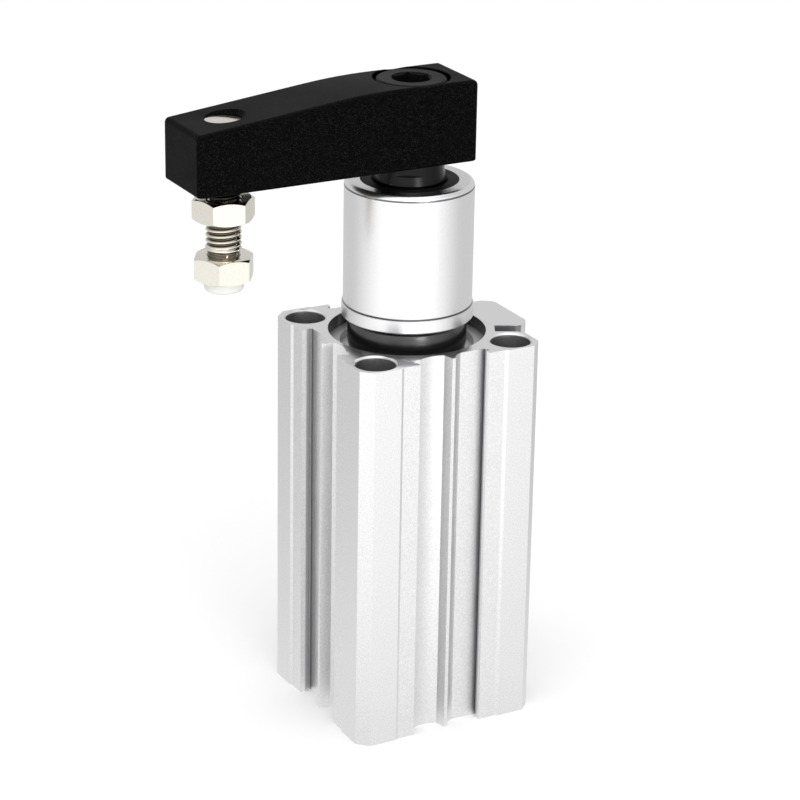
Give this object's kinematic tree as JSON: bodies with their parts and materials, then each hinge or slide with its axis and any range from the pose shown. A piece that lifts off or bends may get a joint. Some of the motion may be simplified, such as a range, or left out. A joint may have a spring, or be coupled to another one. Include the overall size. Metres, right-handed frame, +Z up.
{
  "type": "swing clamp cylinder",
  "caption": "Compact pneumatic swing clamp: square body with sensor grooves, round rod cover, and a swinging arm that carries a clamp bolt with a soft pad.",
  "frame": {"origin": "centre of the four mounting holes on the body's foot, on the bore axis", "axes": "+Z up along the rod; the clamp arm points along -X at rest; the air ports face +X"},
  "size_m": [0.0821, 0.045, 0.1486],
  "materials": {
    "body_aluminium": "satin clear anodised",
    "cover_aluminium": "fine turned and clear anodised",
    "end_plate_aluminium": "turned",
    "spring_steel": "phosphated, light grey",
    "black_rubber": "glossy moulded",
    "seal_rubber": "matte",
    "bumper_rubber": "matte polyurethane",
    "scraper_rubber": "smooth",
    "bush_bronze": "bored",
    "pin_steel": "ground",
    "piston_aluminium": "turned",
    "wear_ring_plastic": "matte",
    "magnet": "bonded",
    "rod_steel": "hard chrome, ground",
    "arm_black": "fine grained matte black",
    "screw_black": "black oxide",
    "bolt_nickel": "nickel plated",
    "pad_white": "smooth moulded"
  },
  "bodies": {
    "cylinder": {"cylinder_body": "body_aluminium", "rod_cover": "cover_aluminium", "end_plate": "end_plate_aluminium", "cover_retaining_ring": "spring_steel", "end_retaining_ring": "spring_steel", "foot_ring": "black_rubber", "cover_gasket": "seal_rubber", "end_plate_gasket": "seal_rubber", "rod_seal": "seal_rubber", "upper_bumper": "bumper_rubber", "lower_bumper": "bumper_rubber", "scraper": "scraper_rubber", "guide_bush": "bush_bronze", "guide_pins": "pin_steel"},
    "piston": {"piston": "piston_aluminium", "piston_seal": "seal_rubber", "wear_ring": "wear_ring_plastic", "magnet": "magnet"},
    "rod": {"piston_rod": "rod_steel", "piston_nut": "pin_steel", "clamp_arm": "arm_black", "arm_screw": "screw_black", "clamp_bolt": "bolt_nickel", "lock_nut": "bolt_nickel", "bolt_pad": "pad_white"}
  },
  "joints": [
    {"name": "rod_stroke", "type": "slide", "parent": "cylinder", "child": "piston", "axis": [0, 0, 1], "range_m": [0, 0.045]},
    {"name": "arm_swing", "type": "hinge", "parent": "piston", "child": "rod", "pos_m": [0, 0, 0], "axis": [0, 0, 1], "range_deg": [0, 90]}
  ]
}
